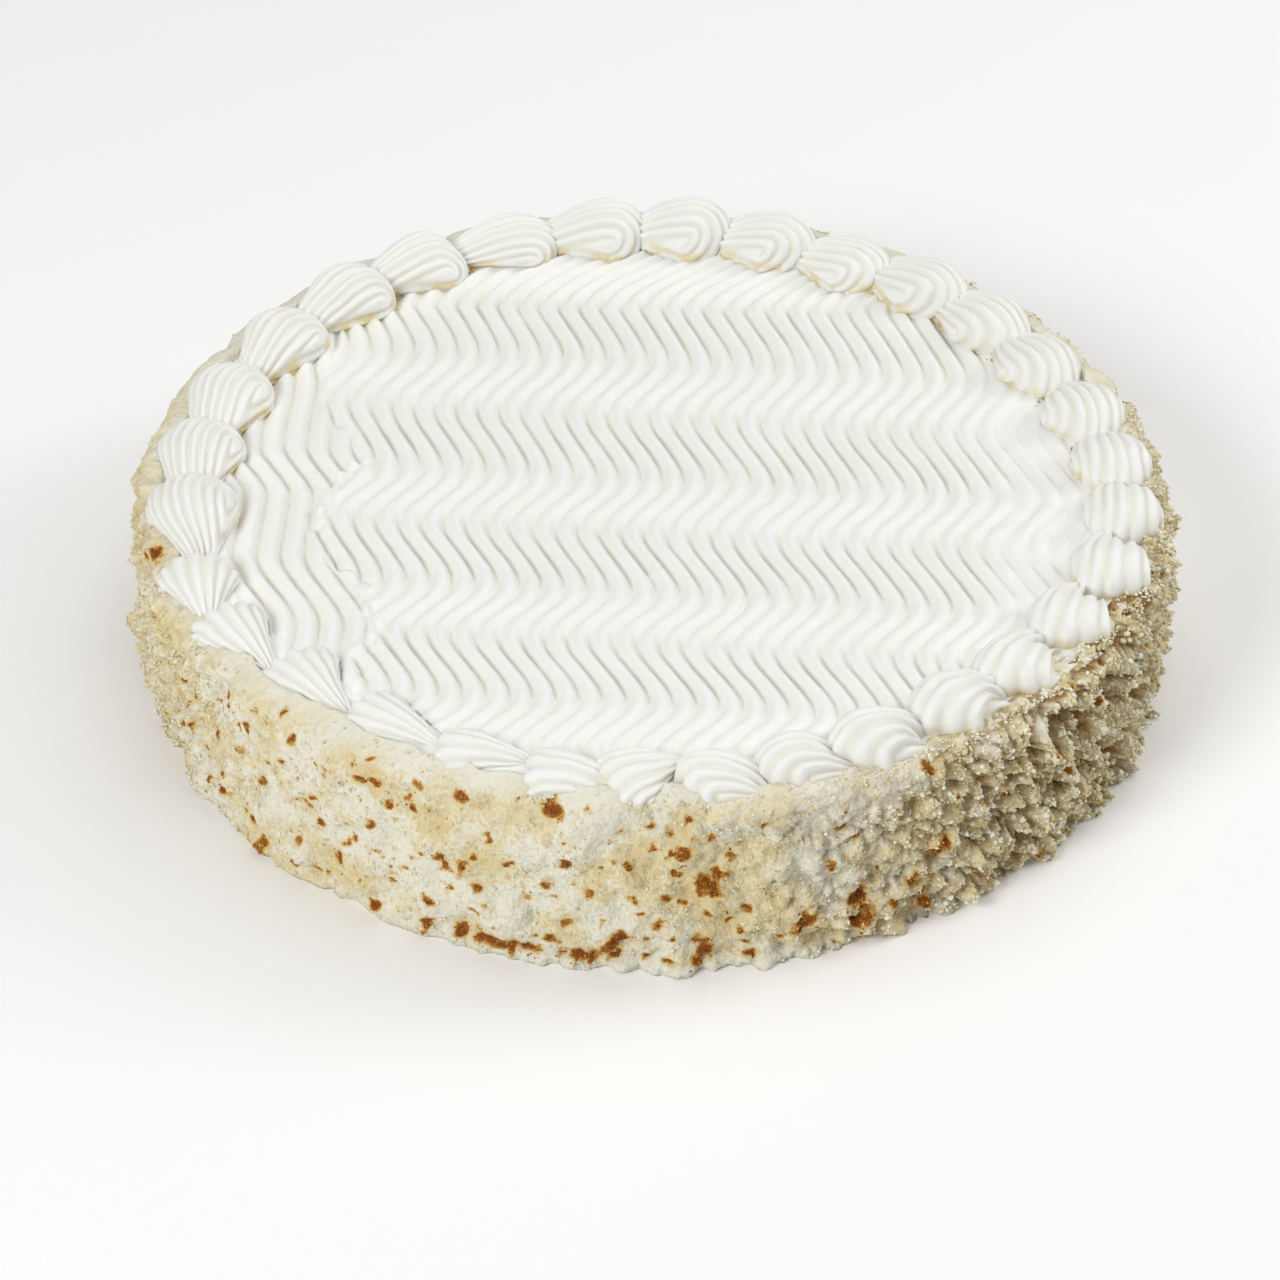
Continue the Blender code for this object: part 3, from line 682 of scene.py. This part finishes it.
# How far the left pass had swung to the right, and where it ends on the right. Each pair
# is a distance to the back and one to the right, listed from the back to the front.
LEFT_SWING = (
    (0.110, -0.0060), (0.085, -0.0115), (0.058, -0.0095), (0.042, -0.0079),
    (0.016, -0.0089), (-0.006, 0.0), (-0.029, -0.0006), (-0.058, 0.0107),
    (-0.080, 0.0096), (-0.110, 0.0130),
)
SEAM = (
    (0.110, -0.079), (0.080, -0.080), (0.035, -0.083), (0.010, -0.072), (0.000, -0.077),
    (-0.018, -0.082), (-0.032, -0.078), (-0.042, -0.069), (-0.060, -0.0665),
    (-0.075, -0.0695), (-0.110, -0.070),
)


def comb_turns(line, y):
    along = y + WAVE_SLANT * line - WAVE_FIRST_BEND
    turns = along / WAVE_LENGTH - WAVE_STRETCH * along**2
    early = WAVE_SKEW * math.sin(math.pi * turns) ** 2
    return 2 * math.pi * turns - early


def comb_shift(line, y):
    """How far the comb had swung sideways when it passed y."""
    swing = WAVE_SWING * math.cos(comb_turns(line, y))
    rear = max(0.0, y - REAR_START)
    swing += REAR_PULL * rear**2 / (rear + REAR_EASE)
    return swing + COMB_DRIFT * y / (2 * COMB_RADIUS)


def comb_line(x, y):
    """The line of the comb that passed over x, y."""
    line = x
    for _ in range(LINE_STEPS):
        line = x - comb_shift(line, y)
    return line


def listed(pairs, y):
    """Reads a list of pairs at y, with a smooth step from each to the next."""
    for (back, here), (front, there) in zip(pairs, pairs[1:]):
        if y >= front:
            return there + (here - there) * step(y, front, back)
    return pairs[-1][1]


def groove_share(phase):
    """0 on the ridge, 1 at the bottom of the groove, which is steep on its left."""
    share = (phase + GROOVE_START) % 1.0
    return (0.5 - 0.5 * math.cos(2 * math.pi * share**GROOVE_SLOPE)) ** GROOVE_WIDTH


def uneven(place, wide_and_deep):
    wide, deep = wide_and_deep
    return deep * noise.noise(place / wide)


def torn_lips(place, off_seam):
    """Rise of the torn cream that far to the right of the seam between the two passes."""
    torn = max(0.0, noise.noise(place / TORN_SIZE) + 0.25) * step(place.y, TORN_FROM, TORN_TO)
    lip = LIP_RISE * torn * math.exp(-((off_seam / LIP_WIDTH) ** 2))
    return lip - RIP_DEPTH * torn * math.exp(-(((off_seam - RIP_PLACE) / RIP_WIDTH) ** 2))


def icing_point(x, y):
    """Place on the icing, and how deep in a groove it is."""
    line = comb_line(x, y)
    place = Vector((x, y, 0.0))
    wander = uneven(place, COMB_WANDER)
    lean = math.sin(comb_turns(line, y))
    deep = groove_share((line + wander) / COMB_PITCH) * (0.74 + 0.28 * lean)
    left_line = x - listed(LEFT_SWING, y) + wander
    left_deep = LEFT_DEPTH * groove_share(left_line / LEFT_PITCH)
    seam = listed(SEAM, y) + uneven(place, SEAM_WANDER)
    left = step(seam - x, -0.0010, 0.0014)
    deep += (left_deep - deep) * left
    plain = step(x + 0.006 * noise.noise(place / 0.02), SMOOTHED_FROM, SMOOTHED_TO)
    deep *= 1 - 0.55 * plain
    deep *= 1 + 0.25 * noise.noise(place / 0.013)
    deep *= 1 - step(place.length, *FIELD_END)
    z = COMB_CREST - COMB_DEPTH * deep + torn_lips(place, x - seam)
    z += plain * uneven(Vector((x - 0.5 * y, y + 0.3 * x, 0.0)), SMOOTHED_WAVES)
    teeth = Vector((line / TOOTH_MARK_WIDTH, y / TOOTH_MARK_LENGTH, 0.0))
    z += TOOTH_MARK_DEPTH * noise.noise(teeth)
    z += uneven(place, CURDS) + uneven(place, LOW_WAVES)
    snag = (place.xy - SNAG).length / SNAG_WIDTH
    z += SNAG_RISE * math.exp(-(snag**2)) * (0.4 + noise.noise(place / 0.0015))
    return Vector((x, y, z)), min(1.0, deep)


def cream_finish(name, painted_foot_shade):
    finish = Finish(
        name, Subsurface_Weight=0.25, Subsurface_Scale=0.003,
        Subsurface_Radius=(1.0, 0.85, 0.6), Specular_IOR_Level=0.35,
    )
    color = finish.tint(CREST_CREAM, CREAM, finish.between(finish.cloud(0.02), 0.35, 0.65))
    # Painted shade: the grooves of the combed icing and the valleys between the shells' ridges are
    # tinted darker and yellower, as the shade that falls in them.
    color = finish.tint(color, GROOVE_SHADE_PAINT, finish.measure("groove") * 0.9)
    # Painted shade: low on the shells, in patches, the cream is tinted dark yellow as the shade in
    # the crevices at their inner feet and at the outer feet of the torn shells at the front right.
    if painted_foot_shade:
        foot = 1 - finish.between(finish.height(), LEDGE_HEIGHT, LEDGE_HEIGHT + 0.0032)
        foot_shade = finish.between(finish.cloud(0.005), 0.40, 0.62) * finish.measure("foot_shade")
        color = finish.tint(color, FOOT_SHADE_PAINT, foot * foot_shade)
    fine = finish.cloud(0.0006) * 0.5 + finish.cloud(0.0022) * 0.5
    return finish.coat(color, finish.cloud(0.004) * 0.14 + 0.42, fine, 0.00014)


CREST_CREAM = (0.91, 0.91, 0.885, 1)
CREAM = (0.90, 0.90, 0.865, 1)
# Painted shade for the grooves and for the valleys between the ridges.
GROOVE_SHADE_PAINT = (0.83, 0.825, 0.735, 1)
# Painted shade for the crevices at the feet of the shells.
FOOT_SHADE_PAINT = (0.80, 0.66, 0.36, 1)
SNAG = Vector((0.0004, -0.0353))  # the comb dragged up a small peak here
SNAG_WIDTH = 0.0022
SNAG_RISE = 0.0012

bm = bmesh.new()
bmesh.ops.create_grid(bm, x_segments=FIELD_COLUMNS, y_segments=FIELD_ROWS, size=1.0)
groove = bm.verts.layers.float.new("groove")
for vert in bm.verts:
    x = FIELD_SHARE * FIELD_RADIUS * vert.co.x
    y = vert.co.y * math.sqrt(FIELD_RADIUS**2 - x**2)
    vert.co, vert[groove] = icing_point(x, y)
rim = [e for e in bm.edges if e.is_boundary]
for radius, level in (
    (RIM_RADIUS - 2 * GAP, LEDGE_HEIGHT), (ICING_EDGE, LEDGE_HEIGHT - ICING_SLOPE),
    (ICING_EDGE, ICING_BOTTOM),
):
    grown = bmesh.ops.extrude_edge_only(bm, edges=rim)["geom"]
    rim = [g for g in grown if isinstance(g, bmesh.types.BMEdge) and g.is_boundary]
    for vert in {v for e in rim for v in e.verts}:
        vert.co = polar(radius, math.atan2(vert.co.y, vert.co.x), level)
bmesh.ops.holes_fill(bm, edges=rim)
new_piece("combed_icing", bm, cream_finish("combed_icing", False), "combed_icing", "icing_top")

# ---------------------------------------------------------------- the piped border
# 31 shells of stiff cream, piped anticlockwise through a star tip: each head swells up over
# the tail before it, and the tail is drawn down and off. At the front left they lie nearly
# flat, like fans, and at the front right the tails were torn off short.
#
# One row for each shell, anticlockwise from the back left: its angle on the ring and how
# far its tail turns outward, in degrees; then its distance from the cake's axis, the reach
# of its head, the reach of its tail, half its width and its rise, in millimetres; then the
# share of its width that its tail loses, how far its sides lag toward the tail, in
# millimetres, how far it leans out, in degrees, and how many ridges it has.
SHELLS = (
    (122.6, -2.0, 112.0, 10.2, 21.0, 11.0, 9.2, 0.72, -2.0, 25, 10),
    (135.4, -6.0, 111.2, 11.8, 22.0, 11.0, 9.6, 0.72, -3.0, 22, 10),
    (149.0, -8.0, 110.8, 12.4, 21.5, 11.0, 8.8, 0.72, -3.0, 25, 10),
    (163.0, -4.0, 111.0, 12.6, 21.0, 11.0, 8.2, 0.72, -0.5, 35, 11),
    (175.4, 0.0, 111.6, 11.4, 20.0, 11.0, 7.6, 0.72, 0.0, 35, 12),
    (188.3, 0.0, 112.0, 11.6, 20.5, 11.4, 8.6, 0.72, 0.0, 38, 12),
    (202.4, 10.0, 115.6, 6.8, 15.0, 9.8, 7.0, 0.80, 0.0, 6, 8),
    (212.4, -2.0, 115.4, 6.8, 17.5, 9.5, 5.6, 0.86, 0.0, 0, 8),
    (224.4, 6.0, 111.8, 6.8, 18.0, 10.0, 5.0, 0.86, 0.0, 0, 8),
    (236.8, -1.0, 111.6, 6.6, 18.0, 8.8, 4.6, 0.84, 0.0, 0, 7),
    (248.4, -14.0, 113.4, 6.2, 15.5, 8.4, 4.6, 0.82, 0.0, 0, 6),
    (259.2, -2.0, 114.8, 6.2, 13.0, 8.6, 5.0, 0.30, 0.0, 0, 6),
    (268.2, -28.0, 113.6, 7.0, 12.6, 10.0, 5.4, 0.88, 0.0, 0, 7),
    (276.6, 12.0, 114.2, 7.6, 12.0, 8.8, 6.4, 0.36, 4.0, -12, 7),
    (286.0, 5.0, 113.4, 8.2, 11.5, 8.8, 8.0, 0.34, 4.0, -12, 7),
    (296.0, 12.0, 112.6, 10.0, 12.0, 9.8, 9.2, 0.34, 4.0, -12, 7),
    (307.6, 14.0, 111.0, 10.4, 13.0, 10.4, 9.0, 0.32, 4.0, -12, 7),
    (318.9, 16.0, 110.5, 10.4, 12.8, 10.4, 7.4, 0.30, 4.0, -12, 7),
    (330.8, 16.0, 110.8, 10.2, 12.8, 10.4, 7.0, 0.30, 4.0, -5, 7),
    (342.4, 14.0, 113.4, 10.4, 12.5, 10.4, 7.6, 0.36, 3.0, -3, 7),
    (353.9, 10.0, 113.8, 10.4, 12.5, 10.4, 7.8, 0.45, 3.0, 0, 8),
    (364.4, 6.0, 112.4, 10.4, 13.5, 10.6, 8.0, 0.62, 3.0, 0, 9),
    (375.3, 2.0, 110.8, 10.4, 15.5, 10.8, 8.2, 0.65, 3.0, 12, 9),
    (387.0, 0.0, 109.6, 10.6, 17.0, 11.0, 8.4, 0.68, 4.0, 12, 9),
    (398.6, 0.0, 110.2, 10.6, 18.0, 11.0, 8.4, 0.70, 5.0, 12, 9),
    (409.6, 0.0, 110.4, 10.0, 19.0, 11.0, 9.4, 0.71, 6.0, 25, 10),
    (421.8, 0.0, 109.6, 10.0, 19.5, 11.0, 7.8, 0.71, 3.0, 25, 10),
    (432.8, 0.0, 110.8, 9.4, 19.5, 11.0, 9.8, 0.72, 4.5, 25, 10),
    (444.6, 0.0, 111.6, 9.6, 20.0, 11.0, 11.2, 0.72, 3.0, 25, 10),
    (456.6, -2.0, 111.8, 10.8, 20.5, 11.0, 10.0, 0.72, 1.5, 25, 10),
    (469.4, -3.0, 112.0, 11.4, 21.0, 11.0, 8.0, 0.72, -1.0, 15, 10),
)
SHELL_BASE = LEDGE_HEIGHT + GAP
SHELL_SINK = 0.0020
TAIL_FALL = 0.30
BLUNT_CENTRE = math.radians(-35.0)
BLUNT_SPREAD = math.radians(52.0)
BLUNT_FALL = 0.02
BLUNT_YAW = math.radians(34.0)  # the tip was held across the border there
BLUNT_HOLLOW = 0.0026
FAN_CENTRE = math.radians(-128.0)
FAN_SPREAD = math.radians(38.0)
FAN_FALL = 0.25
SHELL_ROUND = 72
SHELL_ACROSS = 130
RIDGE_DEPTH = 0.00095
RIDGE_SHARE = 0.070  # of the shell's width
RIDGE_LIMIT = 0.17  # of the shell's rise
FAN_SCALLOP = 0.0010  # the ridges of a fan stand out at its front
FAN_DROP = 0.0006
TAIL_LOBE = 0.0020  # the ridges of a torn tail stand out at its end
TAIL_CUT = 0.0016
TAIL_SKEW = 0.28  # of half the width: the torn tails bend inward
SAG = (0.008, 0.0004)  # how wide the cream sagged unevenly, and how deep
CREASE = (0.0025, 0.0001)


def shell_sizes(row):
    """Place, turn and sizes of one shell, from its row of the table."""
    angle, turn, tilt = (math.radians(value) for value in (row[0], row[1], row[9]))
    ring, head, tail, half_width, rise = (MILLIMETRE * value for value in row[2:7])
    blunt = bell(angle, BLUNT_CENTRE, BLUNT_SPREAD)
    fan = bell(angle, FAN_CENTRE, FAN_SPREAD)
    return {
        "angle": angle, "turn": turn, "ring": ring, "head": head, "tail": tail,
        "half_width": half_width, "rise": rise, "blunt": blunt, "fan": fan,
        "pinch": row[7], "lag": MILLIMETRE * row[8], "bands": row[10],
        "fall": TAIL_FALL + (BLUNT_FALL - TAIL_FALL) * blunt + FAN_FALL * fan,
        "tilt": (
            Matrix.Rotation(BLUNT_YAW * blunt**2, 3, "Z")
            @ Matrix.Rotation(tilt - math.pi / 2, 3, "X")
        ),
        "seed": 7.3 * row[0],
    }


def shell_point(ball, sizes):
    """Move a point of a ball, whose poles lie across the shell, onto the piped form.

    Bands run round the ball. They arch over the head from the icing, turn once round the
    poles like a snail and run together in the tail.
    """
    blunt, fan = sizes["blunt"], sizes["fan"]
    latitude = math.asin(max(-1.0, min(1.0, ball.z)))
    share = 0.5 + latitude / math.pi
    uneven = noise.noise((6 * share, sizes["seed"], 2.5)) * math.sin(math.pi * share)
    round_share = ((math.atan2(ball.y, ball.x) - math.pi / 2) / (2 * math.pi)) % 1.0
    bands = sizes["bands"] * (share + 0.03 * uneven) + round_share
    valley = (0.5 + 0.5 * math.cos(2 * math.pi * bands)) ** 1.5
    dome = 1 - valley
    valley *= step(math.cos(latitude), 0.04, 0.22)
    unit = sizes["tilt"] @ ball
    reach = math.hypot(unit.x, unit.z)
    tailward = max(0.0, unit.x / reach) if reach > 1e-6 else 0.0
    ragged = noise.noise((bands * 0.8, sizes["seed"], 0.5))
    smooth = blunt**2 * step(unit.y - unit.x, 0.5, 1.2)
    valley *= 1 - 0.7 * smooth
    if unit.x < 0:
        power = 2 + 3 * fan
        rest = math.sqrt(max(0.0, 1 - unit.x**2))
        unit = unit * (abs(unit.x) ** power + rest**power) ** (-1 / power)
        x = sizes["head"] * unit.x * (1 + 0.10 * ragged * unit.x**2)
        x -= FAN_SCALLOP * fan * dome * unit.x**2
    else:
        x = sizes["tail"] * tailward * (reach + (1.0 - reach) * tailward)
        x *= 1 + (0.14 + 0.16 * blunt) * ragged * tailward**2
        x += TAIL_LOBE * blunt * dome * tailward**6
    y = sizes["half_width"] * unit.y * (1.0 - sizes["pinch"] * tailward ** (2 - 0.8 * fan))
    z = sizes["rise"] * unit.z * (1.0 - tailward**2) ** sizes["fall"]
    level = min(RIDGE_LIMIT, RIDGE_DEPTH / sizes["rise"])
    point = Vector((x, y, z * (1.0 - level * valley) / (1.0 - RIDGE_SHARE * valley)))
    point *= 1.0 - RIDGE_SHARE * valley
    point.x += sizes["lag"] * unit.y**2 - TAIL_CUT * blunt**2 * tailward**2
    point.y += TAIL_SKEW * sizes["half_width"] * blunt**2 * tailward**2
    point.z *= 1 - fan * (0.10 + 0.40 * unit.y**2)
    point.z -= FAN_DROP * fan
    hollow = BLUNT_HOLLOW * blunt**2 * step(-ball.z, 0.84, 0.985)
    point += Vector((-0.3 * hollow, hollow, -0.5 * hollow))
    # Where the painted shade lies at the foot: the inner side, except on the fans, and the outer
    # side of the torn shells.
    inner = step(unit.y, -0.2, 0.4) * (1 - fan) + blunt * step(-unit.y, 0.1, 0.5)
    return point, valley, min(1.0, inner)


def shell_matrix(sizes):
    """From the shell's own axes (X to the tail, Z up) to its place on the ring."""
    heading = sizes["angle"] + math.pi / 2 - sizes["turn"]
    place = polar(sizes["ring"], sizes["angle"], SHELL_BASE)
    return Matrix.Translation(place) @ Matrix.Rotation(heading, 4, "Z")


shell_finish = cream_finish("piped_cream", True)
for index, row in enumerate(SHELLS):
    sizes = shell_sizes(row)
    bm = bmesh.new()
    groove = bm.verts.layers.float.new("groove")
    foot_shade = bm.verts.layers.float.new("foot_shade")
    bmesh.ops.create_uvsphere(
        bm, u_segments=SHELL_ROUND, v_segments=SHELL_ACROSS, radius=1.0
    )
    for vert in bm.verts:
        vert.co, vert[groove], vert[foot_shade] = shell_point(vert.co, sizes)
    cut = bmesh.ops.bisect_plane(
        bm, geom=bm.verts[:] + bm.edges[:] + bm.faces[:],
        plane_co=(0, 0, -SHELL_SINK), plane_no=(0, 0, 1), clear_inner=True, dist=1e-7,
    )
    edges = [g for g in cut["geom_cut"] if isinstance(g, bmesh.types.BMEdge)]
    bmesh.ops.holes_fill(bm, edges=edges)
    bmesh.ops.transform(bm, matrix=shell_matrix(sizes), verts=bm.verts)
    for vert in bm.verts:
        soft = noise.noise_vector(vert.co / SAG[0]) * SAG[1]
        soft += noise.noise_vector(vert.co / CREASE[0]) * CREASE[1]
        vert.co += soft
    number = f"{index + 1:02d}"
    new_piece(
        f"piped_shell_{number}", bm, shell_finish, "piped_cream", f"shell_{number}"
    )

# ---------------------------------------------------------------- crumbs on the top
# Crumbs that fell from the side while the border was piped. They stick in the cream at the
# outer feet of the shells, and in the gaps between the shells on their inner side.
HEAP_CENTRES = math.radians(-30), math.radians(120)  # outside and inside the border
HEAP_SPREAD = math.radians(70)


def by_the_border(count, inner_share):
    """Crumbs at the feet of the shells, in small heaps."""
    def spots(draw):
        made = 0
        while made < count:
            row = draw.choice(SHELLS)
            sizes = shell_sizes(row)
            inner = draw.random() < inner_share
            if draw.random() > bell(sizes["angle"], HEAP_CENTRES[inner], HEAP_SPREAD):
                continue
            along = -0.92 if inner else draw.uniform(-0.9, 1.2)
            across = 0.62 if inner else -1.05 + 0.35 * max(0.0, along)
            centre = Vector((
                along * sizes["head"] + draw.gauss(0, 0.0006),
                across * sizes["half_width"] + draw.gauss(0, 0.0008),
                LEDGE_HEIGHT - SHELL_BASE,
            ))
            for level in range(draw.randint(1, 4)):
                size = 0.0002 + 0.0005 * draw.random() ** 2
                near = Vector([draw.gauss(0, 0.0007) for _ in range(2)] + [0.3 * size * level])
                made += 1
                place = shell_matrix(sizes) @ (centre + near)
                radius = math.hypot(place.x, place.y)
                place.z -= 0.0010 * step(radius, ICING_RADIUS, ICING_RADIUS + 0.003)
                yield place, size
    return spots


heap_of_crumbs("top_crumbs_pale", 5, by_the_border(1500, 0.05), pale)
heap_of_crumbs("top_crumbs_beige", 6, by_the_border(900, 0.15), beige)
heap_of_crumbs("top_crumbs_golden", 7, by_the_border(260, 0.75), golden)

# ---------------------------------------------------------------- table, light and camera
# A pale table under soft studio light: a wide lamp at the front left, a broad softbox
# overhead, a small lamp at the back right and a faint even glow from all round.
table = Finish("table", Base_Color=(0.97, 0.97, 0.97, 1), Roughness=0.8)
bpy.ops.mesh.primitive_plane_add(size=12, location=(0, 0, 0))
floor = bpy.context.object
floor.name = "table_top"
floor.data.materials.append(table.material)
floor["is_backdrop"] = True

world = bpy.data.worlds.new("studio")
world.use_nodes = True
world.node_tree.nodes["Background"].inputs["Color"].default_value = (1, 1, 1, 1)
world.node_tree.nodes["Background"].inputs["Strength"].default_value = 0.25
bpy.context.scene.world = world


def lamp(name, place, size, power):
    light = bpy.data.lights.new(name, "AREA")
    light.size = size
    light.energy = power
    owner = bpy.data.objects.new(name, light)
    owner.location = place
    owner.rotation_euler = (-Vector(place)).to_track_quat("-Z", "Y").to_euler()
    bpy.context.scene.collection.objects.link(owner)


lamp("key_lamp", (-1.0, -1.2, 1.15), 0.7, 19)
lamp("softbox", (0.45, 0.4, 1.8), 1.9, 14.5)
lamp("fill_lamp", (1.35, 0.45, 0.85), 0.6, 8)

camera_data = bpy.data.cameras.new("camera")
camera_data.lens = 131.48
camera_data.sensor_width = 36
camera = bpy.data.objects.new("camera", camera_data)
camera.matrix_world = (
    Matrix.Translation((-0.00287, -0.9279, 0.7070))
    @ Matrix.Rotation(math.radians(52.634), 4, "X")
    @ Matrix.Rotation(math.radians(0.9223), 4, "Z")
)
bpy.context.scene.collection.objects.link(camera)
bpy.context.scene.camera = camera
bpy.context.scene.view_settings.view_transform = "Standard"

[[list(c) for c in box] for box in (cad_box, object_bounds())]
